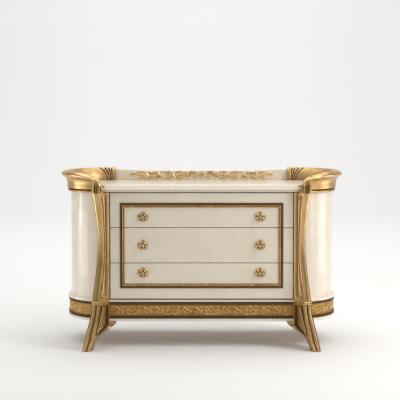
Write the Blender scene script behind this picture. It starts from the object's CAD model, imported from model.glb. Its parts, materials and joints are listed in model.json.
import json
import math

import bmesh
import bpy
from bmesh.types import BMVert
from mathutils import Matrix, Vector
from mathutils.bvhtree import BVHTree


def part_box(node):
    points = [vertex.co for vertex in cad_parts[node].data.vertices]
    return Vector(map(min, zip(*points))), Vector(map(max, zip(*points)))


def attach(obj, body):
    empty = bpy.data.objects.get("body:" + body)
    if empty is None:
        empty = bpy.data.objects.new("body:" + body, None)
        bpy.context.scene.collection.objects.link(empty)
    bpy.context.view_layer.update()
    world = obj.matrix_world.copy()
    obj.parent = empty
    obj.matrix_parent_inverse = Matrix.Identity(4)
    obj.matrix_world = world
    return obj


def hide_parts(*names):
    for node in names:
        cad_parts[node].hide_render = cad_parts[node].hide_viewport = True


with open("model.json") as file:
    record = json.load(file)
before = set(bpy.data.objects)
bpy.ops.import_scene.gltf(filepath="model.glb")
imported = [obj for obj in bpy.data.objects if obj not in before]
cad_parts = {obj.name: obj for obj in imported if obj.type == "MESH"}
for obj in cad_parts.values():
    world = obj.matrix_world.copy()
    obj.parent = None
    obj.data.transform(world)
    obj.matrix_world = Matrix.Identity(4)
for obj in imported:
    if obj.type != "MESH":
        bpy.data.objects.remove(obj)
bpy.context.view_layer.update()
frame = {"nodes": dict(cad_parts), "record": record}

# Shapes are drawn in millimetres: X along the front, Z up, and Y to the back, counted from the middle of
# the two end circles. A finished piece is brought to metres and moved to its place in the frame.
MM = 0.001
END_CIRCLES = Vector((0, sum(corner.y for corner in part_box("plinth_frame")) / 2, 0))


def box(node):
    """The two corners of a node's box."""
    return [(corner - END_CIRCLES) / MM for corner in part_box(node)]


def heights(node):
    return [corner.z for corner in box(node)]


END_X = box("partition_right")[0].x
SIDE_R = box("curved_side_right")[1].x - END_X
SIDE_BOTTOM = heights("curved_side_right")[0]
PLINTH_R = box("plinth_frame")[1].y
PLINTH_BOTTOM, PLINTH_TOP = heights("plinth_frame")
TOP_UNDER, TOP_FACE = heights("top_board")
TOP_FRONT = -box("top_board")[0].y
TOP_BACK = box("top_board")[1].y
SHOULDER_X = -box("scroll_cap_left")[1].x
CAP_OUTER = -box("scroll_cap_left")[0].x
LEG_TOP, CAP_TOP = heights("scroll_cap_left")
RIM_BOTTOM = heights("rim_left")[0]
FRONT_Y = -box("top_drawer_front")[0].y
COLLAR = heights("post_collars")
FRIEZE = heights("plinth_frieze")
SKIRTING_TOP = heights("end_skirtings")[1]
GLIDE_TOP = heights("foot_glides")[1]


class Amount:
    """A number in a finish. Arithmetic on it adds Math nodes."""

    def __init__(self, nodes, socket):
        self.nodes = nodes
        self.socket = socket

    def joined(self, operation, first, second):
        return self.nodes.number("ShaderNodeMath", {"operation": operation}, {0: first, 1: second})

    def __add__(self, other):
        return self.joined("ADD", self, other)

    def __rsub__(self, other):
        return self.joined("SUBTRACT", other, self)

    def __mul__(self, other):
        return self.joined("MULTIPLY", self, other)

    __radd__ = __add__


class Nodes:
    """The nodes of a finish, or of the air round the chest."""

    def __init__(self, owner):
        owner.use_nodes = True
        self.tree = owner.node_tree
        self.tree.nodes.clear()

    def node(self, kind, settings=(), sockets=()):
        """Adds a node, sets its settings first, and then the values or links of its sockets."""
        made = self.tree.nodes.new(kind)
        for name, value in dict(settings).items():
            setattr(made, name, value)
        for name, value in dict(sockets).items():
            if isinstance(value, Amount):
                value = value.socket
            if isinstance(value, bpy.types.NodeSocket):
                self.tree.links.new(value, made.inputs[name])
            else:
                made.inputs[name].default_value = value
        return made

    def number(self, kind, settings=(), sockets=(), output=0):
        return Amount(self, self.node(kind, settings, sockets).outputs[output])

    def between(self, amount, low, high, start=0.0, end=1.0):
        """The amount stretched from low..high to start..end, and held there."""
        return self.number("ShaderNodeMapRange", {"clamp": True}, {
            0: amount, 1: low, 2: high, 3: start, 4: end})


class Finish(Nodes):
    """One material, built node by node."""

    def __init__(self, name):
        self.material = bpy.data.materials.new(name)
        super().__init__(self.material)
        self.object_place = self.node("ShaderNodeTexCoord").outputs["Object"]

    def noise(self, scale, detail=3.0, stretch=(1, 1, 1), distortion=0.0):
        """Soft clouds from 0 to 1, with their size in repeats per metre."""
        place = self.node("ShaderNodeMapping", {}, {"Vector": self.object_place, "Scale": stretch})
        return self.number("ShaderNodeTexNoise", {}, {
            "Vector": place.outputs[0], "Scale": scale, "Detail": detail, "Distortion": distortion})

    def attribute(self, name):
        return self.number("ShaderNodeAttribute", {"attribute_name": name}, {}, "Fac")

    def blend(self, amount, first, second):
        """One colour turning into another."""
        colours = [(*colour, 1) if isinstance(colour, tuple) else colour for colour in (first, second)]
        mix = self.node("ShaderNodeMix", {"data_type": "RGBA"}, {0: amount, 6: colours[0], 7: colours[1]})
        return mix.outputs[2]

    def bump(self, height, strength, distance):
        made = self.node("ShaderNodeBump", {}, {"Height": height, "Strength": strength, "Distance": distance})
        return made.outputs[0]

    def surface(self, sockets):
        """The shader that shows."""
        shader = self.node("ShaderNodeBsdfPrincipled", {}, sockets)
        self.node("ShaderNodeOutputMaterial", {}, {"Surface": shader.outputs[0]})
        return self.material


def gilding(name, light, dark, umber, roughness):
    """Gold leaf over carved wood, with umber rubbed into the hollows."""
    finish = Finish(name)
    clouds = finish.noise(7, 4)
    leaf = finish.noise(38, 3, (1, 1, 0.35))
    grain = finish.noise(420, 2)
    hollow = finish.between(finish.attribute("hollow") + clouds * 0.16, 0.12, 0.72)
    worn = finish.between(clouds * 0.55 + leaf * 0.45, 0.34, 0.66)
    colour = finish.blend(worn, dark, light)
    return finish.surface({
        "Base Color": finish.blend(hollow, colour, umber), "Metallic": 1.0 - hollow * 0.1,
        "Roughness": roughness + leaf * 0.10 + hollow * 0.3,
        "Normal": finish.bump(grain * 0.12 + leaf, 0.07, 0.0010)})


def lacquer(name, light, dark, vein, coat):
    """Polished ivory lacquer over a figured veneer."""
    finish = Finish(name)
    clouds = finish.noise(5.5, 5, (1, 1, 1.5), 0.8)
    figure = finish.noise(26, 4, (1, 1, 0.6), 1.6)
    fleck = finish.noise(120, 3, (1, 1, 0.5), 0.4)
    shade = finish.between(clouds * 0.55 + figure * 0.45, 0.36, 0.64)
    colour = finish.blend(shade, dark, light)
    return finish.surface({
        "Base Color": finish.blend(finish.between(fleck, 0.58, 0.78) * 0.45, colour, vein),
        "Roughness": 0.34 + figure * 0.1, "Coat Weight": coat, "Coat Roughness": 0.09,
        "Normal": finish.bump(figure, 0.03, 0.0006)})


def bare_wood(name, light, dark, rings, roughness):
    """Planed wood with its grain along X."""
    finish = Finish(name)
    grain = finish.noise(rings, 5, (0.12, 1, 1), 0.5)
    pores = finish.noise(rings * 9, 2, (0.05, 1, 1))
    colour = finish.blend(finish.between(grain, 0.3, 0.7), dark, light)
    return finish.surface({
        "Base Color": finish.blend(finish.between(pores, 0.62, 0.75) * 0.5, colour, dark),
        "Roughness": roughness + grain * 0.12, "Normal": finish.bump(grain + pores * 0.5, 0.15, 0.0005)})


def plain_metal(name, colour, roughness, scale):
    """Drawn or plated metal with faint streaks along Y."""
    finish = Finish(name)
    streaks = finish.noise(scale, 3, (1, 0.08, 1))
    dark = tuple(part * 0.78 for part in colour)
    return finish.surface({
        "Base Color": finish.blend(streaks, dark, colour), "Metallic": 1.0,
        "Roughness": roughness + streaks * 0.15, "Normal": finish.bump(streaks, 0.08, 0.0003)})


def matt(name, light, dark, scale, roughness):
    """A dull painted, stained or moulded surface with slight mottling."""
    finish = Finish(name)
    clouds = finish.noise(scale, 4)
    return finish.surface({
        "Base Color": finish.blend(finish.between(clouds, 0.3, 0.7), dark, light),
        "Roughness": roughness + clouds * 0.12, "Specular IOR Level": 0.2,
        "Normal": finish.bump(clouds, 0.08, 0.0006)})


GOLD = gilding("gold_leaf", (0.80, 0.545, 0.265), (0.56, 0.35, 0.13), (0.080, 0.031, 0.007), 0.21)
FRIEZE_GROUND = gilding(
    "frieze_ground", (0.46, 0.265, 0.085), (0.34, 0.185, 0.052), (0.10, 0.045, 0.012), 0.46)
FRIEZE_GOLD = gilding("frieze_gold", (0.92, 0.67, 0.35), (0.72, 0.48, 0.21), (0.20, 0.095, 0.028), 0.36)
SPRAY_GOLD = gilding("spray_gold", (1.0, 0.82, 0.52), (0.86, 0.63, 0.33), (0.28, 0.14, 0.04), 0.30)
KNOB_GOLD = gilding("knob_gold", (0.84, 0.65, 0.38), (0.68, 0.49, 0.26), (0.13, 0.068, 0.022), 0.28)
IVORY = lacquer("ivory_lacquer", (0.85, 0.77, 0.635), (0.79, 0.705, 0.565), (0.66, 0.55, 0.40), 0.55)
STAIN = matt("dark_stain", (0.058, 0.034, 0.014), (0.034, 0.019, 0.008), 60, 0.5)
RUBBED_STAIN = matt("rubbed_stain", (0.19, 0.13, 0.07), (0.12, 0.08, 0.04), 60, 0.4)
BACK_PAINT = matt("back_paint", (0.66, 0.60, 0.49), (0.60, 0.54, 0.43), 25, 0.6)
CARCASS = bare_wood("poplar", (0.62, 0.46, 0.28), (0.50, 0.34, 0.19), 30, 0.6)
DRAWER_WOOD = bare_wood("drawer_maple", (0.66, 0.49, 0.30), (0.54, 0.37, 0.20), 26, 0.42)
STEEL = plain_metal("runner_zinc", (0.62, 0.63, 0.66), 0.26, 60)
NYLON = matt("glide_nylon", (0.10, 0.08, 0.065), (0.07, 0.055, 0.045), 200, 0.5)

# Finishes of a piece, with its slot
LACQUERED = ([IVORY], "ivory_lacquer")
GILDED = ([GOLD], "gilding")


def blank():
    """An empty mesh whose points can say how hollow the surface is."""
    mesh = bmesh.new()
    mesh.verts.layers.float.new("hollow")
    return mesh


def drawn_out(mesh, loops, umber=None):
    """A closed body: each loop of points is pulled out of the one before, and the ends are capped.

    Umber marks, one for each point of a loop or one list for each loop, darken the leaf from the start.
    """
    part = blank()
    ring = [part.verts.new(point) for point in loops[0]]
    part.faces.new(ring)
    rings = [ring]
    count = len(ring)
    for loop in loops[1:]:
        edges = [part.edges.get((ring[index], ring[(index + 1) % count])) for index in range(count)]
        order = {vertex: index for index, vertex in enumerate(ring)}
        ring = [None] * count
        for vertex in bmesh.ops.extrude_edge_only(part, edges=edges)["geom"]:
            if isinstance(vertex, BMVert):
                sources = (edge.other_vert(vertex) for edge in vertex.link_edges)
                ring[next(order[source] for source in sources if source in order)] = vertex
        for vertex, point in zip(ring, loop):
            vertex.co = point
        rings.append(ring)
    part.faces.new(ring)
    if umber:
        layer = part.verts.layers.float["hollow"]
        for index, ring in enumerate(rings):
            marks = umber[index] if isinstance(umber[0], list) else umber
            for vertex, mark in zip(ring, marks):
                vertex[layer] = mark
    data = bpy.data.meshes.new("part")
    part.to_mesh(data)
    part.free()
    mesh.from_mesh(data)
    bpy.data.meshes.remove(data)


SIGHT_LINES = 8


def mark_hollows(mesh, reach):
    """Notes how shut in each point is: how much of its view the piece itself blocks within this reach."""
    layer = mesh.verts.layers.float["hollow"]
    mesh.normal_update()
    tree = BVHTree.FromBMesh(mesh)
    for vertex in mesh.verts:
        normal = vertex.normal
        across = normal.orthogonal().normalized()
        along = normal.cross(across)
        start = vertex.co + normal * 0.15 * MM
        blocked = 0.0
        for turn in range(SIGHT_LINES):
            angle = 2 * math.pi * turn / SIGHT_LINES
            lean = 0.42 + 0.34 * (turn % 2)
            sideways = across * math.cos(angle) + along * math.sin(angle)
            distance = tree.ray_cast(start, normal * lean + sideways * (1 - lean * lean) ** 0.5, reach)[3]
            if distance is not None:
                blocked += 1 - distance / reach
        vertex[layer] = min(1.0, max(vertex[layer], 1.7 * blocked / SIGHT_LINES))


def placed(name, data):
    """An object of the scene."""
    made = bpy.data.objects.new(name, data)
    bpy.context.scene.collection.objects.link(made)
    return made


def finished(name, mesh, look, nodes, sharp=32, hollow_reach=0, body="cabinet"):
    """Turns a mesh into a piece in its place, riding on its body and standing for its nodes."""
    finishes, slot = look
    bmesh.ops.recalc_face_normals(mesh, faces=mesh.faces)
    bmesh.ops.scale(mesh, verts=mesh.verts, vec=(MM, MM, MM))
    bmesh.ops.translate(mesh, verts=mesh.verts, vec=END_CIRCLES)
    if hollow_reach:
        mark_hollows(mesh, hollow_reach * MM)
    for face in mesh.faces:
        face.smooth = True
    for edge in mesh.edges:
        edge.smooth = len(edge.link_faces) == 2 and edge.calc_face_angle(0) < math.radians(sharp)
    data = bpy.data.meshes.new(name)
    mesh.to_mesh(data)
    mesh.free()
    for finish in finishes:
        data.materials.append(finish)
    made = placed(name, data)
    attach(made, body)
    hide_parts(*nodes)
    return made


def board(mesh, x_low, x_high, y_low, y_high, z_low, z_high, edge):
    """A board with softened edges."""
    made = bmesh.ops.create_cube(mesh, size=1)["verts"]
    bmesh.ops.scale(mesh, verts=made, vec=(x_high - x_low, y_high - y_low, z_high - z_low))
    bmesh.ops.translate(mesh, verts=made, vec=(
        (x_high + x_low) / 2, (y_high + y_low) / 2, (z_high + z_low) / 2))
    edges = list({line for vertex in made for line in vertex.link_edges})
    bmesh.ops.bevel(mesh, geom=edges, offset=edge, affect="EDGES", segments=3, profile=0.5, material=-1)


def evenly(start, end, steps):
    """Numbers in even steps, with both ends."""
    return [start + (end - start) * step / steps for step in range(steps + 1)]


def arc(centre, radius, start, end, steps):
    """Points of an arc in a section, with angles in degrees."""
    turns = [math.radians(angle) for angle in evenly(start, end, steps)]
    return [(centre[0] + radius * math.cos(turn), centre[1] + radius * math.sin(turn)) for turn in turns]


def smooth_line(points, steps):
    """A smooth line through these points, each a tuple of any length."""
    line = []
    for index in range(len(points) - 1):
        before = points[max(index - 1, 0)]
        here, there = points[index], points[index + 1]
        after = points[min(index + 2, len(points) - 1)]
        for step in range(steps):
            t = step / steps
            line.append(tuple(
                0.5 * (2 * b + (c - a) * t + (2 * a - 5 * b + 4 * c - d) * t * t
                       + (3 * b - a - 3 * c + d) * t ** 3)
                for a, b, c, d in zip(before, here, there, after)))
    return line + [tuple(points[-1])]


def eased(value):
    """0 below 0, 1 above 1, and smooth between."""
    value = min(1.0, max(0.0, value))
    return value * value * (3 - 2 * value)


# Plinth courses: a front strip between the feet and one round each end
END_STEPS = 48
HIDDEN_START = -74          # where an end strip starts behind its leg, in degrees from the side
COURSE_BACK = 90


def around_end(side, radius, angle):
    """A point of an end circle, with the angle in degrees from the outer side towards the back."""
    turn = math.radians(angle)
    return side * (END_X + radius * math.cos(turn)), radius * math.sin(turn)


def course(name, base, profile, look, nodes, front=True, ends=True):
    """A moulding whose section is given as (out, up) points from the plinth frame's face and its base."""
    mesh = blank()
    if front:
        drawn_out(mesh, [[(x, -PLINTH_R - out, base + up) for out, up in profile] for x in (-END_X, END_X)])
    for side in (-1, 1) if ends else ():
        drawn_out(mesh, [[(*around_end(side, PLINTH_R + out, angle), base + up) for out, up in profile]
                         for angle in evenly(HIDDEN_START, COURSE_BACK, END_STEPS)])
    return finished(name, mesh, look, nodes)


def bead_profile(height):
    """A dark course with one bead along its middle, between two hollows."""
    middle, radius = height / 2, 2.1
    points = [(0, 0), (7, 0), (7, 1), (3, middle - radius - 1), (4, middle - radius)]
    points += arc((8 - radius, middle), radius, -90, 90, 8)
    points += [(4, middle + radius), (3, middle + radius + 1), (7, height - 1), (7, height)]
    return points + [(0, height)]


def make_plinth():
    moulding = 14
    profile = [(0, 0), (9, 0)] + arc((4, moulding - 6), 5, 0, 90, 6) + [(2.5, moulding), (0, moulding)]
    course("foot_moulding", PLINTH_BOTTOM, profile, LACQUERED, ["plinth_foot_moulding"])

    for name, low, high, nodes in (("lower_beads", PLINTH_BOTTOM + moulding, FRIEZE[0], ["plinth_beads"]),
                                   ("upper_beads", FRIEZE[1], PLINTH_TOP, [])):
        beads = course(name, low, bead_profile(high - low), ([STAIN, RUBBED_STAIN], "dark_stain"), nodes)
        for face in beads.data.polygons:
            if abs(face.center.z / MM - (low + high) / 2) < 2.2:
                face.material_index = 1

    low, high = heights("plinth_cornice")
    radius = (high - low) / 2
    profile = [(0, 0)] + arc((11 - radius, radius), radius, -90, 90, 8) + [(0, high - low)]
    course("cornice", low, profile, LACQUERED, ["plinth_cornice"], ends=False)

    step_back, top = PLINTH_R - SIDE_R, SKIRTING_TOP - PLINTH_TOP
    profile = [(-step_back, 0), (10, 0), (10, 6)] + arc((-1, 8), 10, 0, 70, 8)
    profile += [(-3.5, top - 5), (-4.5, top), (-step_back, top)]
    course("end_skirting", PLINTH_TOP, profile, LACQUERED, ["end_skirtings"], front=False)

    top, fillet = FRIEZE[1] - FRIEZE[0], 3
    profile = [(0, 0), (5, 0), (5, fillet), (2.2, fillet * 1.5), (2.2, top - fillet * 1.5), (5, top - fillet),
               (5, top), (0, top)]
    course("frieze_ground", FRIEZE[0], profile, ([FRIEZE_GROUND], "gilding"), ["plinth_frieze"])


# Carved relief, drawn flat as (along, up, out) and laid on its surface by a function
def stem(mesh, line, widths, rises, lay, crease=1.0):
    """A round-topped raised stem, or a creased leaf, along a flat line."""
    sides = 8
    loops = []
    last = len(line) - 1
    for index, (along, up) in enumerate(line):
        ahead, behind = line[min(index + 1, last)], line[max(index - 1, 0)]
        run = Vector((ahead[0] - behind[0], ahead[1] - behind[1])).normalized()
        loop = []
        for step in range(sides + 1):
            angle = math.pi * step / sides
            across = widths[index] * math.cos(angle)
            out = rises[index] * math.sin(angle)
            if step == sides // 2:
                out *= crease
            loop.append(lay(along - run.y * across, up + run.x * across, out))
        loops.append(loop)
    drawn_out(mesh, loops)


def volute(centre, radius, start, turns, steps, inward=0.86):
    """A flat line that winds from a circle's edge nearly to its centre."""
    line = []
    for share in evenly(0, 1, steps):
        angle = math.radians(start) + turns * 2 * math.pi * share
        reach = radius * (1 - inward * share ** 0.85)
        line.append((centre[0] + reach * math.cos(angle), centre[1] + reach * math.sin(angle)))
    return line


def bud(mesh, centre, radius, rise, lay):
    """A small round berry."""
    for vertex in bmesh.ops.create_uvsphere(mesh, u_segments=10, v_segments=6, radius=1)["verts"]:
        x, y, z = vertex.co
        vertex.co = lay(centre[0] + x * radius, centre[1] + y * radius, z * rise)


def leaf(mesh, points, width, rise, lay):
    """A creased leaf along a smooth line through a few points."""
    line = smooth_line(points, 5)
    swells = [0.12 + 0.88 * math.sin(math.pi * share ** 0.72) ** 0.8 for share in evenly(0, 1, len(line) - 1)]
    stem(mesh, line, [width * swell for swell in swells],
         [rise * (0.35 + 0.65 * swell) for swell in swells], lay, 0.62)


def scroll(mesh, centre, radius, start, turns, width, rise, lay, lead=()):
    """A stem that runs in along its lead points and winds into a volute with a berry."""
    wound = volute(centre, radius, start, turns, 22)
    line = smooth_line(list(lead) + [wound[0]], 6)[:-1] + wound if lead else wound
    shares = evenly(0, 1, len(line))[:-1]
    stem(mesh, line, [width * (1 - 0.45 * share) for share in shares],
         [rise * (1 - 0.25 * share) for share in shares], lay)
    bud(mesh, centre, width * 1.5, rise * 1.1, lay)


def spots(row, x=0, side=1, flip=1):
    """Points from a row of distances along and up, counted from x. Side and flip of -1 turn them over."""
    return [(x + side * along, flip * up) for along, up in zip(row[::2], row[1::2])]


# Running scroll of the frieze. Leaves are a width and the distances of the points on their middle line.
FRIEZE_UNIT = 197           # one repeat
FIRST_SCROLL = 24.5         # where a repeat starts, right of the middle of the front
SCROLL_LEAD = (-29, -16.5, -24.5, -2.5)
SCROLL_LEAVES = (
    (2.8, 4, 22, 16, 21.5, 27, 16, 28.5, 6), (2.7, -10, -12.5, 4, -21.5, 20, -19, 30, -11),
    (2.2, 16, 1.5, 24, -6, 30, -2))
LEANING_LEAD = (-20, 18, -12, 11)
LEANING_LEAVES = (
    (2.4, -20, 18, -12, 11, 4, -1, 16, -13), (2.0, -16, 4, -14, -6, -4, -14, 8, -19),
    (2.4, -8, 20, 6, 18, 16, 9, 17, 1), (2.2, 18, 20, 26, 12, 26, 2), (2.2, -26, -19, -26, -8, -20, 0))
FRIEZE_BUDS = (30, 2, 86, 12, 132, -16, -27, 18, 132, 16)


def frieze_unit(mesh, start, lay, low_limit, high_limit):
    """One repeat: a scroll above, a scroll below, and two leaning sprays of leaves."""
    middle = sum(FRIEZE) / 2

    def inside(points):
        reach = [start + x for x, _ in points]
        return low_limit <= min(reach) and max(reach) <= high_limit

    def shifted(points):
        return [(start + x, middle + y) for x, y in points]

    def leaves(rows, x, flip=1):
        for width, *row in rows:
            points = spots(row, x, flip, flip)
            if inside(points):
                leaf(mesh, shifted(points), width, 3, lay)

    for x, flip, first in ((0, 1, 165), (57, -1, -15)):
        lead = spots(SCROLL_LEAD, x, flip, flip)
        if inside(lead + [(x - 18, 0), (x + 18, 0)]):
            scroll(mesh, (start + x, middle + 3.5 * flip), 16.5, first, -1.3, 2.3, 3, lay, shifted(lead))
        leaves(SCROLL_LEAVES, x, flip)
    for x in (104, 160):
        if inside([(x - 30, 0), (x + 30, 0)]):
            lead = shifted(spots(LEANING_LEAD, x))
            scroll(mesh, (start + x + 12, middle - 8), 9.5, 150, -1.1, 2.2, 3, lay, lead)
            scroll(mesh, (start + x - 12, middle - 10), 8, 100, 1.1, 2, 2.8, lay)
        leaves(LEANING_LEAVES, x)
    for spot in spots(FRIEZE_BUDS):
        if inside([spot]):
            bud(mesh, shifted([spot])[0], 2.2, 2.8, lay)


def make_frieze_carving():
    mesh = blank()
    ground = PLINTH_R + 2.2

    def on_front(along, up, out):
        return along, -ground - out, up

    limit = END_X - 6
    for unit in range(-3, 3):
        frieze_unit(mesh, FIRST_SCROLL + unit * FRIEZE_UNIT, on_front, -limit, limit)

    for side in (-1, 1):
        def on_end(along, up, out, side=side):
            turn = math.degrees(along / ground) - 68
            return (*around_end(side, ground + out, turn), up)

        for unit in range(4):
            frieze_unit(mesh, 32 + unit * FRIEZE_UNIT, on_end, 0, math.radians(154) * ground)
    finished("frieze_carving", mesh, ([FRIEZE_GOLD], "gilding"), [], 50, 3)


# Right half of the gallery's spray, from the middle of the board. Curls are a place, a radius, a start in
# degrees, turns and a width, with their lead; leaves are as on the frieze.
SPRAY_CURLS = (
    (328, -1, 18.5, 15, 1.45, 3.4, (372, -4, 356, 4, 350, 14)),
    (376, -4, 9.5, 150, -0.9, 2.6, ()),
    (176, 0, 19.5, 200, 1.4, 3.4, (245, 13, 226, 4, 208, -12)),
    (121, -1, 17.5, -30, 1.4, 3.4, (70, 12, 85, 2, 98, -14)),
    (56, 1, 13.5, 160, -1.3, 2.8, (98, 12, 86, 16, 74, 12)),
)
SPRAY_LEAVES = (
    (4.6, 352, 4, 366, 12, 378, 6, 387, -2), (4.8, 345, 13, 332, 20.5, 318, 19, 306, 10),
    (4.4, 352, -6, 342, -16, 326, -19.5, 308, -14), (5.4, 308, 14, 296, 6, 286, -8, 268, -16),
    (4.2, 310, -12, 298, -20, 280, -20, 262, -13), (4.4, 296, 16, 280, 14, 262, 13, 244, 18),
    (4.4, 286, 4, 270, 1, 254, 3, 240, 8), (4.2, 262, -14, 246, -18, 230, -16, 216, -4),
    (3.6, 246, -6, 238, -10, 228, -8, 222, 2), (5.2, 244, 18, 230, 8, 222, -6, 212, -19),
    (4.4, 222, 16, 208, 19, 196, 15, 188, 6), (4.8, 196, 16, 180, 20.5, 164, 17, 152, 4),
    (4.4, 194, -14, 180, -20.5, 164, -18, 154, -8), (5.2, 160, 10, 150, -4, 143, -14, 130, -19),
    (4.6, 142, 10, 128, 20, 112, 19, 100, 10), (4.2, 136, -12, 122, -19.5, 106, -18, 94, -10),
    (4.2, 104, 4, 96, -6, 84, -12, 70, -14), (4.4, 88, 16, 78, 4, 70, -4, 60, -18),
    (4.0, 64, 16, 56, 19.5, 46, 17, 40, 10), (4.0, 46, -10, 38, -17, 30, -16, 22, -8),
    (4.0, 50, 14, 41, 19, 32, 15, 26, 6), (3.6, 44, 0, 38, 3, 31, 1, 24, 0),
)


def make_gallery():
    low, high = box("gallery_board")
    mesh = blank()
    dip = 8
    outline = [(-high.x, TOP_FACE), (high.x, TOP_FACE)]
    outline += [(high.x * share, high.z - dip * (1 - share ** 4)) for share in evenly(1, -1, 32)]
    front = mesh.faces.new([mesh.verts.new((x, low.y, z)) for x, z in outline])
    back = bmesh.ops.extrude_face_region(mesh, geom=[front])["geom"]
    moved = [part for part in back if isinstance(part, BMVert)]
    bmesh.ops.translate(mesh, verts=moved, vec=(0, high.y - low.y, 0))
    bmesh.ops.bevel(mesh, geom=[edge for edge in mesh.edges if edge.calc_face_angle(0) > 1], offset=1.5,
                    affect="EDGES", segments=3, profile=0.5, material=-1)
    finished("gallery", mesh, LACQUERED, ["gallery_board"])

    mesh = blank()
    middle = sum(heights("gallery_applique")) / 2

    def lay(along, up, out):
        return along, low.y - out, middle + up * 0.93

    for side in (-1, 1):
        for x, y, radius, start, turns, width, lead in SPRAY_CURLS:
            scroll(mesh, (side * x, y), radius, start if side > 0 else 180 - start, turns * side, width * 1.25,
                   5.8, lay, spots(lead, 0, side))
        for width, *row in SPRAY_LEAVES:
            leaf(mesh, spots(row, 0, side), width * 1.3, 6.4, lay)
    for turn in evenly(0, 2 * math.pi, 10)[:-1]:
        leaf(mesh, [(reach * math.cos(turn), reach * math.sin(turn)) for reach in (3, 12, 20)], 5.8, 6, lay)
    bud(mesh, (0, 0), 5, 6.8, lay)
    finished("gallery_spray", mesh, ([SPRAY_GOLD], "gilding"), ["gallery_applique"], 50, 4)


def make_top():
    """The slab: a raised field above its nosing, and the half discs under the rims."""
    step, step_top, nosing, ledge_width, field_round = 5, 9, 11, 13, 6
    top = TOP_FACE - TOP_UNDER
    ledge = top - 8
    edge = [(step, 0)] + arc((step + 3, 3), 3, 270, 180, 4)[1:]
    edge += [(step, step_top - 1.5), (step, step_top), (1.5, step_top), (0, step_top + 1.5)]
    edge += arc((nosing, ledge - nosing), nosing, 180, 90, 8)
    edge += [(ledge_width - 0.6, ledge), (ledge_width, ledge + 0.6)]
    edge += arc((ledge_width + field_round, top - field_round), field_round, 180, 90, 8)
    profile = [(TOP_BACK, TOP_UNDER)] + [(-TOP_FRONT + back, TOP_UNDER + up) for back, up in edge]
    profile += [(TOP_BACK - 2, TOP_FACE), (TOP_BACK, TOP_FACE - 2)]
    mesh = blank()
    drawn_out(mesh, [[(x, y, z) for y, z in profile] for x in (-SHOULDER_X, SHOULDER_X)])
    radius = 212
    start = math.degrees(math.acos((SHOULDER_X - END_X) / radius))
    for side in (-1, 1):
        outline = [around_end(side, radius, angle) for angle in evenly(-start, start, 64)]
        drawn_out(mesh, [[(x, y, z) for x, y in outline] for z in (TOP_UNDER, TOP_FACE)])
    finished("top_slab", mesh, LACQUERED, ["top_board"])


def make_sides():
    inner_r = SIDE_R - 12
    section = ((SIDE_R, SIDE_BOTTOM), (SIDE_R, TOP_UNDER), (inner_r, TOP_UNDER), (inner_r, SIDE_BOTTOM))
    reach = math.degrees(math.acos((box("partition_right")[1].x - END_X) / SIDE_R))
    for side, hand in ((-1, "left"), (1, "right")):
        mesh = blank()
        drawn_out(mesh, [[(*around_end(side, radius, angle), z) for radius, z in section]
                         for angle in evenly(-reach, reach, 96)])
        finished("round_side_" + hand, mesh, LACQUERED, ["curved_side_" + hand])


# Front leg: shares of its height, of its outward spread for the outer side and the arris, and of
# the toe's reach for how far the arris stands proud
LEG_SHARES = (
    (0.000, 1.000, 0.750, 1.000), (0.063, 0.914, 0.586, 0.975), (0.122, 0.836, 0.508, 0.915),
    (0.188, 0.734, 0.422, 0.847), (0.254, 0.656, 0.370, 0.771), (0.318, 0.633, 0.359, 0.680),
    (0.446, 0.539, 0.297, 0.508), (0.562, 0.469, 0.234, 0.415), (0.683, 0.430, 0.219, 0.381),
    (0.798, 0.461, 0.245, 0.407), (0.914, 0.551, 0.281, 0.458), (1.000, 0.625, 0.336, 0.508),
)
# Inner side of the foot: shares of the leg's height, of the spread for the inner edge, and of the
# toe's reach for that edge's front and for the back
FOOT_SHARES = (
    (0.000, 0.617, 0.746, 0.483), (0.026, 0.563, 0.720, 0.398), (0.067, 0.453, 0.593, 0.229),
    (0.093, 0.320, 0.483, 0.093), (0.111, 0.170, 0.398, 0.008), (0.129, 0.000, 0.290, -0.060),
    (0.141, -0.125, 0.250, -0.095), (0.157, -0.235, 0.215, -0.150), (0.170, -0.273, 0.205, -0.190),
)
LEG_SPREAD = 128
TOE_PROUD = 118


def at_height(rows, share):
    """The row of shares at a height, on smooth lines through the table."""
    last = len(rows) - 1
    index = next(index for index in range(last) if share <= rows[index + 1][0] or index == last - 1)
    here, there = rows[index], rows[index + 1]
    before, after = rows[max(index - 1, 0)], rows[min(index + 2, last)]
    gap = there[0] - here[0]
    t = min(1.0, max(0.0, (share - here[0]) / gap))
    values = []
    for a, b, c, d in zip(before, here, there, after):
        low_slope = (c - a) / (there[0] - before[0]) * gap
        high_slope = (d - b) / (after[0] - here[0]) * gap
        values.append(b * (2 * t ** 3 - 3 * t * t + 1) + low_slope * (t ** 3 - 2 * t * t + t)
                      + c * (3 * t * t - 2 * t ** 3) + high_slope * (t ** 3 - t * t))
    return values[1:]


ROLL_STEPS = 30
ARRIS_POINT = 16            # where the arris comes in the points of a leg's plan
GROOVE = 4.2                # depth of the groove in the foot's outer roll


def leg_edges(z, post=True):
    """Places of a leg's inner edge, arris and outer edge in plan, and of its back, at a height."""
    share = z / LEG_TOP
    outer_share, arris_share, proud_share = at_height(LEG_SHARES, share)
    if post:
        inner_share, front_share, back_share = 0.0, 0.178, -0.212
    else:
        inner_share, front_share, back_share = at_height(FOOT_SHARES, min(share, FOOT_SHARES[-1][0]))
        if z > PLINTH_BOTTOM:
            inner_share, back_share = 0.0, -0.200
            front_share = 0.205 - 0.027 * eased((z - PLINTH_BOTTOM) / (COLLAR[0] - PLINTH_BOTTOM))
    inner = Vector((-END_X - LEG_SPREAD * inner_share, -SIDE_R - TOE_PROUD * front_share))
    arris = Vector((-END_X - LEG_SPREAD * arris_share, -SIDE_R - TOE_PROUD * proud_share))
    return inner, arris, -END_X - LEG_SPREAD * outer_share, -SIDE_R - TOE_PROUD * back_share


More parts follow.
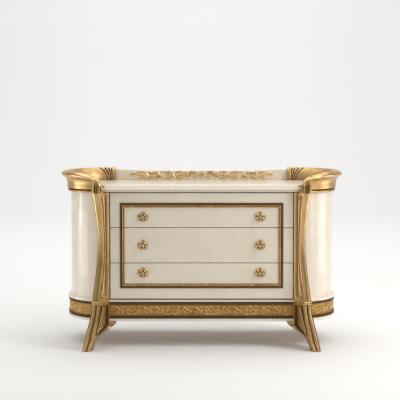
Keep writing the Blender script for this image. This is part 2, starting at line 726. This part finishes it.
def roll_groove(z, post):
    """Depth of the groove in the outer roll: it opens towards the foot."""
    return 2.6 * (1 - eased((z - 360) / 260)) if post else GROOVE


def roll_depth(share, width, groove):
    """How far the outer roll lies behind the arris: a flat band, a groove of this depth, and the round."""
    band = 1.2 * share / 0.3
    if share < 0.3:
        return band
    u = (share - 0.66) / 0.35
    round_depth = 0.42 * width * (1 - math.sqrt(max(0.0, 1 - u * u)))
    if share > 0.66:
        return round_depth
    return min(max(round_depth, band * 0.6), band + (groove - band) * eased((share - 0.30) / 0.08))


def leg_loop(z, grow=0.0, panel=None, post=True):
    """Plan of the left front leg at a height: wing, stile, panelled inner face, arris and outer roll."""
    inner, arris, outer_x, back = leg_edges(z, post)
    inner.y -= grow
    arris.y -= grow
    outer_x -= grow
    stile = Vector((inner.x - 0.2, inner.y))
    if not post and z < PLINTH_BOTTOM:
        stile.x = min(-END_X, inner.x - 7)
        on_line = inner.y + (arris.y - inner.y) * (inner.x - stile.x) / (inner.x - arris.x)
        flush = -SIDE_R - TOE_PROUD * 0.205
        stile.y = on_line + (flush - on_line) * eased((inner.x + END_X) / 24)
    points = [Vector((inner.x, back)), inner, stile]

    face = arris - stile
    face_out = Vector((face.y, -face.x)).normalized()
    if face_out.y > 0:
        face_out = -face_out
    left, right, sink, swell = panel or (0.5, 0.5, 0.0, 0.0)
    for t in evenly(0, 1, 12):
        edge = min(t, 1 - t)
        depth = sink * eased(edge / 0.15) - swell * eased((edge - 0.15) / 0.24)
        points.append(stile + face * (left + (right - left) * t) - face_out * depth)
    points.append(arris)

    width = arris.x - outer_x
    groove = roll_groove(z, post)
    for share in evenly(0, 1, ROLL_STEPS)[1:]:
        points.append(Vector((arris.x - width * share, arris.y + roll_depth(share, width, groove))))
    return points + [Vector((outer_x, points[-1].y + 10)), Vector((outer_x, back))]


def leg_umber(z, sunk, post=True):
    """Umber marks for the points of a leg's plan: in the panel's edges, the groove and the outer edge."""
    marks = [0.0, 0.1, 0.1] if post else [0.2, 0.35, 0.2]
    for step in range(13):
        marks.append(sunk * (0.7 if min(step, 12 - step) < 2.4 else 0.0 if post else 0.34))
    marks.append(0.0)
    depth = 0.85 * roll_groove(z, post) / GROOVE
    edge_start = 0.83 + 0.09 * eased((z - 500) / 200)
    for share in evenly(0, 1, ROLL_STEPS)[1:]:
        mark = depth * math.exp(-((share - 0.42) / 0.09) ** 2)
        marks.append(min(1.0, mark + eased((share - edge_start) / 0.08)))
    return marks + [0.1, 0.0]


STILE = 13                  # flat beside the drawers
ARRIS_FLAT = 5.5            # flat beside the arris


def post_panel(z):
    """Sunk panel of the post, with a long raised strip in it, as shares of the inner face."""
    low, high = COLLAR[1] + 15, LEG_TOP - 4
    if not low < z < high:
        return None
    inner, arris, _, _ = leg_edges(z)
    face = inner.x - arris.x
    ends = min(z - low, high - z)
    room = min(ends / 16, 1.0)
    left, right = STILE / face, 1 - ARRIS_FLAT / face
    middle, half = (left + right) / 2, (right - left) / 2 * math.sqrt(max(0.0, 1 - (1 - room) ** 2))
    return middle - half, middle + half, 3.6 * eased(room * 2.2), 3.0 * eased((ends - 6) / 20)


# Sunk panel of the foot: heights, with the distances of its two sides from the round end's middle
FOOT_PANEL = ((76.5, 53, 55.5), (82, 46.5, 55), (101.3, 25.5, 51), (118.7, 8.5, 47), (140, 7.5, 42.5),
              (203, 7.5, 29.5), (220, 7.5, 29))


def panel_shares(z, away=0):
    """The two sides of the foot's panel at a height, as shares of its inner face, or a distance away."""
    stile, arris = leg_loop(z, post=False)[2], leg_edges(z, post=False)[1]
    for (z_low, *sides_low), (z_high, *sides_high) in zip(FOOT_PANEL, FOOT_PANEL[1:]):
        if z <= z_high:
            t = (z - z_low) / (z_high - z_low)
            return [(stile.x + END_X + a + (b - a) * t + away) / (stile.x - arris.x)
                    for a, b in zip(sides_low, sides_high)]


def foot_panel(z):
    """Sunk three-cornered panel of the foot, with the depth of its ground and the rise of its field."""
    low, high = FOOT_PANEL[0][0], COLLAR[0] - 7
    if not low < z < high:
        return None
    near_end = eased((high - z) / 8) * eased((z - low) / 10)
    return *panel_shares(z), 4.5 * near_end, 2.0 * near_end * eased((high - z - 12) / 20)


ROPE_PITCH = 9


def raised_line(mesh, levels, loop_at, point, width, rise, wave=0.0):
    """A thin raised line, or a rope, that runs down a leg along one point of its plan."""
    loops = []
    for z in levels:
        plan = loop_at(z)
        along = (plan[point + 1] - plan[point - 1]).normalized()
        out = Vector((along.y, -along.x))
        if out.y > 0:
            out = -out
        swell = 1 - wave * (0.5 + 0.5 * math.cos(2 * math.pi * z / ROPE_PITCH))
        places = [plan[point] + along * width * swell * x + out * (rise * swell * y - 0.4)
                  for x, y in arc((0, 0), 1, 0, 180, 8)]
        loops.append([(place.x, place.y, z) for place in places])
    drawn_out(mesh, loops)


def build_post(mesh):
    levels = evenly(COLLAR[1], LEG_TOP, 96)
    drawn_out(mesh, [[(p.x, p.y, z) for p in leg_loop(z, panel=post_panel(z))] for z in levels],
              [leg_umber(z, 0.6 if post_panel(z) else 0.0) for z in levels])
    board(mesh, -SHOULDER_X, -END_X, -234, -SIDE_R, LEG_TOP - 1, TOP_UNDER, 0.8)


def build_foot(mesh):
    levels = evenly(GLIDE_TOP, PLINTH_BOTTOM - 0.2, 56) + evenly(PLINTH_BOTTOM, COLLAR[0], 30)
    levels[57] += 0.1
    levels.reverse()

    def plan(z):
        return leg_loop(z, -0.03, foot_panel(z), False)

    drawn_out(mesh, [[(p.x, p.y, z) for p in plan(z)] for z in levels],
              [leg_umber(z, 1.0 if foot_panel(z) else 0.0, False) for z in levels])
    raised_line(mesh, evenly(46, COLLAR[0] - 4, 150)[:-1], plan, ARRIS_POINT + 5, 3.2, 2.4, 0.5)
    raised_line(mesh, evenly(86, COLLAR[0] - 12, 40), plan, ARRIS_POINT - 1, 5.0, 3.6)

    # A row of beads under the slanting side of the panel
    for z in evenly(114, 80, 10):
        stile, arris = plan(z)[2], plan(z)[ARRIS_POINT]
        place = stile + (arris - stile) * panel_shares(z, -5.5)[0]
        made = bmesh.ops.create_icosphere(mesh, subdivisions=2, radius=2.1)["verts"]
        bmesh.ops.translate(mesh, verts=made, vec=(place.x, place.y, z))


def make_collars():
    low, high = COLLAR
    shape = [(low, 0.4)]
    bead = ((-3.2, 1.2), (-2.2, 3.0), (0, 4.0), (2.2, 3.0), (3.2, 1.2))
    for middle in (low + 4.2, high - 4.2):
        shape += [(middle + up, grow) for up, grow in bead]
    shape.append((high, 0.4))
    mesh = blank()
    for side in (1, -1):
        drawn_out(mesh, [[(side * p.x, p.y, z) for p in leg_loop(z, grow)] for z, grow in shape])
    finished("collars", mesh, GILDED, ["post_collars"], 32, 12)


def rim_line():
    """Section of the rim from its outer bottom edge over the top to its inner foot, as (radius, height)."""
    base = RIM_BOTTOM
    line = [(215.7, base), (227, base)] + arc((226.5, base + 6), 5.6, -80, 80, 7)
    line += [(225, base + 12.6), (225, base + 15.4), (232.5, base + 16.6)]
    line += smooth_line([(234.5, 792.5), (235.2, 806), (236.2, 822), (241.2, 838), (251, 847), (259, 852)], 5)
    line += smooth_line([(261.2, 853.5), (264.8, 858), (265.2, 863), (262.5, 868)], 4)
    line += smooth_line([(259, 871.8), (253.5, 877), (246.5, CREST_Z), (239.5, 878.5), (233.2, 874.5),
                         (226.2, 867), (219.9, 857.4), (214, 845), (210.4, 836.2), (206.8, 823),
                         (205, TOP_FACE)], 3)
    return line


BANDS = ((7.5, 9.9), (11.9, 15.1), (17.3, 21.9))      # in degrees from the back plane, along the crest
CUFF_END = 5.8
CREST_R, CREST_Z = 246.5, 879.7


def band_grow(angle):
    """How far the rim swells near its back end, with the angle in degrees from the back plane."""
    if angle < CUFF_END:
        return 2.2 * math.sin(math.pi * min(0.5, (CUFF_END - angle) / 2.6)) ** 0.5
    for low, high in BANDS:
        if low < angle < high:
            return 2.3 * math.sin(math.pi * (angle - low) / (high - low)) ** 0.5
    return -4.0 * eased((BANDS[-1][1] + 2.2 - angle) / 0.9)


def under_nose(radius, z):
    """Umber marks of the rim's section: over the bottom bead, softly below the nose and on the inner side."""
    if radius < CREST_R:
        return 0.20 * eased((CREST_Z - z) / 12)
    if z > 856:
        return 0.0
    return 0.95 * math.exp(-((z - RIM_BOTTOM - 14) / 2.6) ** 2) + 0.3 * math.exp(-((z - 846) / 6) ** 2)


def band_slant(angle, radius, z):
    """Degrees by which the bands draw together towards the foot of the rim's inner side."""
    if radius > CREST_R:
        return 0.0
    below = min(1.0, max(0.0, (CREST_Z - z) / (CREST_Z - TOP_FACE)))
    drawn = 0.58 * (1 - (1 - below) ** 2.6)
    return max(0.0, angle - CUFF_END) * drawn * (1 - eased((angle - 24) / 40))


def build_rim(mesh):
    line = rim_line()
    last = len(line) - 1
    normals = []
    for index in range(last + 1):
        ahead, behind = line[min(index + 1, last)], line[max(index - 1, 0)]
        along = Vector((ahead[0] - behind[0], ahead[1] - behind[1])).normalized()
        normals.append(Vector((along.y, -along.x)))
    seat_r = 212.3
    seat = [(seat_r, TOP_FACE), (seat_r, TOP_UNDER), (215.7, TOP_UNDER)]
    section = list(zip(line, normals)) + [(point, None) for point in seat]

    # Angles round the end: up from the cap, along the side, and through the bands to the flat back end
    side_start, bands_start, fan_start = -40, 62, 86
    turns = [(gone, None) for gone in evenly(0, 1, 40)[:-1]]
    turns += [(1, angle) for angle in evenly(side_start, bands_start, 70)[:-1] + evenly(bands_start, 90, 110)]
    loops, umber = [], []
    for gone, nominal in turns:
        grow = 0.0 if nominal is None or nominal <= bands_start else band_grow(90 - nominal)
        loop = []
        for (radius, z), normal in section:
            if normal is not None and z > RIM_BOTTOM:
                radius += normal.x * grow
                z = max(TOP_FACE if radius < seat_r else RIM_BOTTOM, z + normal.y * grow)
            if nominal is None:
                first = -math.degrees(math.acos((CAP_OUTER - 3 - END_X) / radius))
                angle = first + (side_start - first) * gone
                if z > TOP_FACE:
                    z -= 20 * (1 - gone) ** 2 * (z - TOP_FACE) / 68
            else:
                back_end = math.degrees(math.acos(4 / radius))
                beyond = max(0.0, nominal - fan_start) / (90 - fan_start)
                angle = min(nominal, fan_start) + (back_end - fan_start) * beyond
                angle += band_slant(90 - nominal, radius, z)
            loop.append((*around_end(-1, radius, angle), z))
        loops.append(loop)
        groove = eased(-grow / 1.6)
        umber.append([min(1.0, groove + under_nose(*point)) for point in line] + [0.0] * len(seat))
    drawn_out(mesh, loops, umber)


def cap_relief(share):
    """How far the face of the cap stands out, from its outer side (0) to its inner side (1)."""
    for low, high in ((0.0, 0.20), (0.53, 0.70)):
        if low < share < high:
            return 6.5 * math.sin(math.pi * (share - low) / (high - low)) ** 0.7
    if share < 0.53:
        return 0.6 * math.sin(math.pi * (share - 0.20) / 0.33) - 1.6
    return 3.4 * eased((share - 0.70) / 0.05)


def cap_umber(share):
    """Umber marks across the face of the cap: the outer edge, and the valley between the two reeds."""
    edge = 0.7 * math.exp(-(share / 0.03) ** 2)
    lines = sum(math.exp(-((share - place) / 0.04) ** 2) for place in (0.22, 0.38, 0.71))
    return min(1.0, edge + 0.6 * lines + (0.22 if 0.2 < share < 0.53 else 0.0))


def build_cap(mesh):
    """The reeded scroll over the left front leg, where the rim turns down into it."""
    front = box("scroll_cap_left")[0].y + 7
    knee = 34
    crest = CAP_TOP + 2

    # Its path up the front, round the knee and down to the slab: place, way out, and share gone
    path = [((front, z), (-1, 0), 0.0) for z in evenly(LEG_TOP, crest - knee, 12)[:-1]]
    for way, gone in zip(arc((0, 0), 1, 180, 90, 18), evenly(0, 0.45, 18)):
        path.append(((front + knee + knee * way[0], crest - knee + knee * way[1]), way, gone))
    tail = [(front + knee, crest), (-222, 858), (-195, 850), (-162, 834), (-130, TOP_FACE - 0.8)]
    line = smooth_line(tail, 6)
    path += [(place, (0, 1), gone) for place, gone in zip(line, evenly(0.45, 1, len(line) - 1))][1:]

    loops, umber = [], []
    for (y, z), (out_y, out_z), gone in path:
        loop, marks = [], []
        lasting = (1 - eased((gone - 0.02) / 0.12)) * (1 - 0.8 * eased((z - 814) / 18))
        rising = max(0.0, (z - LEG_TOP) / (crest - LEG_TOP))
        foot = 1 - 0.75 * eased(1 - (z - LEG_TOP) / 5)
        for share in evenly(0, 1, 60):
            fall = max(0.0, (share - 0.22) / 0.78) ** 2.2
            lean = 12 * eased(gone / 0.6) * (1 - 0.5 * share)
            inset = 13 * max(0.0, (share - 0.55) / 0.45) ** 2 * rising ** 2
            lift = cap_relief(share) * lasting * foot
            point_z = LEG_TOP + (z - LEG_TOP) * (1 - 0.62 * fall) + out_z * lift
            if gone > 0.45:
                point_z = max(point_z, min(z, TOP_FACE) - 0.6)
            x = -CAP_OUTER + (CAP_OUTER - SHOULDER_X) * share - inset - lean
            loop.append((x, y + out_y * lift, point_z))
            marks.append(cap_umber(share) * lasting)
        inner_y = max(y, -212.7)
        inner_z = min(TOP_FACE - 2, z - 2) if inner_y > -212 else min(z, LEG_TOP + 30)
        loop += [(-SHOULDER_X, y + 0.5, min(point_z, TOP_FACE - 0.6)), (-SHOULDER_X, inner_y, inner_z),
                 (-CAP_OUTER, inner_y, inner_z)]
        loops.append(loop)
        umber.append(marks + [0.2, 0.0, 0.0])
    drawn_out(mesh, loops, umber)


def build_rear_leg(mesh):
    low, high = heights("rear_leg_left")
    depth, corner = 58, 5
    loops = []
    for share in evenly(0, 1, 12):
        bend = share + 0.12 * math.sin(math.pi * share)
        left, right, back = (top + (toe - top) * bend for top, toe in ((-556, -576), (-492, -520), (212, 236)))
        front = back - depth
        z = high + (low - high) * share
        loops.append([(left + corner, front, z), (right - corner, front, z), (right, front + corner, z),
                      (right, back - corner, z), (right - corner, back, z), (left + corner, back, z),
                      (left, back - corner, z), (left, front + corner, z)])
    drawn_out(mesh, loops)


def make_gilded_frame():
    for name, build, node, sharp, reach in (
            ("post", build_post, "front_post", 40, 12), ("foot", build_foot, "front_foot", 40, 12),
            ("rear_foot", build_rear_leg, "rear_leg", 32, 0), ("rim_roll", build_rim, "rim", 40, 12),
            ("cap", build_cap, "scroll_cap", 40, 12)):
        for side, hand in ((1, "_left"), (-1, "_right")):
            mesh = blank()
            build(mesh)
            bmesh.ops.scale(mesh, verts=mesh.verts, vec=(side, 1, 1))
            finished(name + hand, mesh, GILDED, [node + hand], sharp, reach)
    make_collars()


# Section of the frame on the fronts, as (inset, out): a dark fillet outside, a broad gold bead, a dark
# quirk and a thin gold bead. The marks and the gold runs go with its points and insets.
FRAME_SECTION = [(0, 0), (0, 3.5), (1.2, 5.0), (5.6, 5.0), (6.6, 3.0), (7.2, 3.0)]
FRAME_SECTION += [(12.2 + 5.0 * x, 3.0 + 5.8 * y) for x, y in arc((0, 0), 1, 180, 0, 10)[1:-1]]
FRAME_SECTION += [(17.2, 2.6), (18.6, 2.6)]
FRAME_SECTION += [(21.2 + 2.6 * x, 2.0 + 3.6 * y) for x, y in arc((0, 0), 1, 180, 0, 6)[1:-1]]
FRAME_SECTION += [(24.0, 1.2), (24.4, 0)]
FRAME_UMBER = [1.0] * 6 + [0.6] * 5 + [0.0] * 4 + [0.5, 0.4] + [0.0] * 7
GOLD_RUNS = ((7.0, 17.3), (18.5, 24.1))


def make_drawer(name):
    body = name + "_drawer"
    low, high = box(body + "_front")
    mesh = blank()
    board(mesh, low.x, high.x, low.y, high.y, low.z, high.z, 1.2)
    mesh.normal_update()
    for face in mesh.faces:
        under_slab = name == "top" and face.normal.z > 0.9
        face.material_index = 0 if abs(face.normal.y) > 0.9 or under_slab else 1
    finished(name + "_front", mesh, ([IVORY, STAIN], "ivory_lacquer"), [body + "_front"], body=body)

    # Its part of the frame, mitred at the corners; a run is a list of (side, height, way inwards)
    half, top = box("top_frame_moulding")[1].x, heights("top_frame_moulding")[1]
    bottom = heights("bottom_frame_moulding")[0]
    cut, edge, inwards = (low.z, top, 1) if name == "top" else (high.z, bottom, -1)
    runs = [[(-1, cut, 0), (-1, edge, inwards), (1, edge, inwards), (1, cut, 0)]]
    if name == "middle":
        runs = [[(side, low.z, 0), (side, high.z, 0)] for side in (-1, 1)]
    mesh = blank()
    for run in runs:
        drawn_out(mesh, [[(side * (half - inset), -FRONT_Y - out, z - inwards * inset)
                          for inset, out in FRAME_SECTION] for side, z, inwards in run], FRAME_UMBER)
    for face in mesh.faces:
        places = [vertex.co for vertex in face.verts]
        insets = [min(half - abs(x), top - z, z - bottom) for x, _, z in places]
        if any(start < min(insets) and max(insets) < end for start, end in GOLD_RUNS):
            face.material_index = 1
    finished(name + "_frame", mesh, ([RUBBED_STAIN, GOLD], "frame_gilding"), [name + "_frame_moulding"], 28,
             body=body)

    mesh = blank()
    for side in (-1, 1):
        build_knob(mesh, side * 292, sum(heights(name + "_knobs")) / 2 - 0.1)
    finished(name + "_rosettes", mesh, ([KNOB_GOLD, STAIN], "knob_brass"), [name + "_knobs"], 50, 5, body)


def build_knob(mesh, x_middle, z_middle):
    """A cast rosette: two rings of full petals round a bud, on a lobed plate."""
    half_width, half_height = 30, 23.5

    def lay(along, up, out):
        return x_middle + along, -FRONT_Y - out, z_middle + up

    def cast(rings, sides, width, height, lobe):
        """A round part from rings (out, size), with an edge that a function of the turn makes lobed."""
        edge = [(width * lobe(turn) * math.cos(turn), height * lobe(turn) * math.sin(turn))
                for turn in evenly(0, 2 * math.pi, sides)[:-1]]
        drawn_out(mesh, [[lay(x * size, y * size, out) for x, y in edge] for out, size in rings])

    cast(((0, 0.78), (2.5, 0.84), (4.5, 0.80), (6.0, 0.66), (7.0, 0.40), (7.2, 0.12)),
         48, half_width, half_height, lambda turn: 1 + 0.06 * abs(math.sin(4 * turn)))
    shares = evenly(0, 1, 8)
    for petals, inner, outer, width, low, high, offset in (
            (9, 0.50, 1.02, 8.6, 6.0, 10.5, 0.5), (5, 0.28, 0.74, 9.4, 12.0, 16.5, 0.0)):
        for petal in range(petals):
            turn = 2 * math.pi * (petal + offset) / petals - math.pi / 2
            across, along = half_width * math.cos(turn), half_height * math.sin(turn)
            stem(mesh, [(across * reach, along * reach) for reach in evenly(inner, outer, 8)],
                 [width * (0.25 + 0.75 * math.sin(math.pi * share ** 0.9) ** 0.6) for share in shares],
                 [low + (high - low) * math.sin(math.pi * share) for share in shares], lay, 0.92)
            if petals == 9:
                bud(mesh, (across * 0.74, along * 0.74), 3, 13, lay)
    cast(((6, 6.5), (14, 6.0), (19, 6.8), (24, 7.6), (28, 6.4), (29.4, 4.4), (27.5, 3.0), (27.0, 0.8)),
         40, 1, 1, lambda turn: 1 - 0.16 * abs(math.cos(2.5 * turn)) ** 3)
    mesh.faces.ensure_lookup_table()
    carved = len(mesh.faces)
    bud(mesh, (0.5, half_height + 0.5), 3.4, 10, lay)
    bud(mesh, (2.5, -1.5), 3.2, 29.2, lay)
    for face in mesh.faces[carved:]:
        face.material_index = 1


def finish_hidden_pieces():
    """The finishes of the pieces inside and behind."""
    by_slot = {"carcass_wood": CARCASS, "drawer_wood": DRAWER_WOOD, "runner_steel": STEEL, "screw_steel": STEEL,
               "back_paint": BACK_PAINT, "glide_plastic": NYLON, "ivory_lacquer": IVORY}
    for entry in frame["record"]["subparts"]:
        node = frame["nodes"][entry["node"]]
        if entry["material_slot"] in by_slot:
            node.data.materials.clear()
            node.data.materials.append(by_slot[entry["material_slot"]])


# Lamps of the studio, in metres: place, aim, width, height, watts and colour
LAMPS = (
    ("key", (2.9, -1.6, 3.0), (0.0, 0.0, 0.5), 1.2, 1.2, 40, (1.0, 0.98, 0.95)),
    ("right_box", (2.7, -1.5, 1.1), (0.5, 0.0, 0.6), 0.4, 1.9, 8, (1.0, 0.99, 0.97)),
    ("right_fill", (2.6, 0.0, 0.35), (0.5, 0.0, 0.4), 1.0, 0.6, 6, (1.0, 0.99, 0.97)),
    ("left_box", (-2.7, 0.04, 0.50), (-0.5, 0.0, 0.7), 0.46, 0.26, 2.2, (1.0, 1.0, 1.0)),
    ("left_fill", (-2.5, -0.2, 0.28), (-0.5, 0.0, 0.35), 1.3, 0.45, 6, (1.0, 1.0, 1.0)),
    ("overhead", (0.0, 0.30, 3.4), (0.0, 0.2, 0.0), 5.4, 3.0, 54, (1.0, 1.0, 0.99)),
    ("backdrop_wash", (0.0, 3.0, 5.5), (0.0, 9.0, 2.0), 8.0, 3.0, 222, (1.0, 1.0, 1.0)),
)


def studio():
    """A pale floor that curves up into a backdrop, soft boxes and the camera, in metres."""
    mesh = bmesh.new()
    reach, rise, turn, half_width = 9.0, 7.0, 2.5, 14.0
    profile = [(-14.0, 0.0)] + arc((reach - turn, turn), turn, -90, 0, 16) + [(reach, rise)]
    rows = [mesh.verts.new((-half_width, y, z)) for y, z in profile]
    edges = [mesh.edges.new(pair) for pair in zip(rows, rows[1:])]
    swept = bmesh.ops.extrude_edge_only(mesh, edges=edges)["geom"]
    bmesh.ops.translate(mesh, verts=[part for part in swept if isinstance(part, BMVert)],
                        vec=(2 * half_width, 0, 0))
    for face in mesh.faces:
        face.smooth = True
        if face.normal.z < 0:
            face.normal_flip()
    data = bpy.data.meshes.new("studio_floor")
    mesh.to_mesh(data)
    mesh.free()
    finish = Finish("studio_paper")
    tint = finish.blend(finish.noise(1.2, 2), (0.90, 0.90, 0.895), (0.92, 0.92, 0.915))
    data.materials.append(finish.surface({"Base Color": tint, "Roughness": 0.75}))
    placed("studio_floor", data)

    for name, place, target, width, height, power, colour in LAMPS:
        light = bpy.data.lights.new(name, "AREA")
        light.shape = "RECTANGLE"
        light.size, light.size_y = width, height
        light.energy = power
        light.color = colour
        lamp = placed(name, light)
        lamp.location = place
        lamp.rotation_euler = (Vector(target) - Vector(place)).to_track_quat("-Z", "Y").to_euler()

    world = bpy.data.worlds.new("studio_air")
    air = Nodes(world)
    direction = air.node("ShaderNodeTexCoord").outputs["Generated"]
    upward = air.node("ShaderNodeSeparateXYZ", {}, {0: direction}).outputs[2]
    glow = air.node("ShaderNodeBackground", {}, {
        "Color": (1.0, 0.985, 0.965, 1), "Strength": air.between(upward, 0.0, 0.65, 0.30, 0.60)})
    air.node("ShaderNodeOutputWorld", {}, {"Surface": glow.outputs[0]})
    bpy.context.scene.world = world
    bpy.context.scene.view_settings.view_transform = "Standard"

    camera = bpy.data.cameras.new("camera")
    camera.sensor_width = 36
    camera.lens = 96.78
    camera.shift_x = -0.004
    camera.shift_y = -0.10
    eye = placed("camera", camera)
    eye.location = (0, END_CIRCLES.y - 5.5712, 1.1741)
    eye.rotation_euler = (math.radians(90 - 2.509), 0, 0)
    bpy.context.scene.camera = eye


make_plinth()
make_frieze_carving()
make_gallery()
make_top()
make_sides()
make_gilded_frame()
for drawer_name in ("bottom", "middle", "top"):
    make_drawer(drawer_name)
finish_hidden_pieces()
studio()
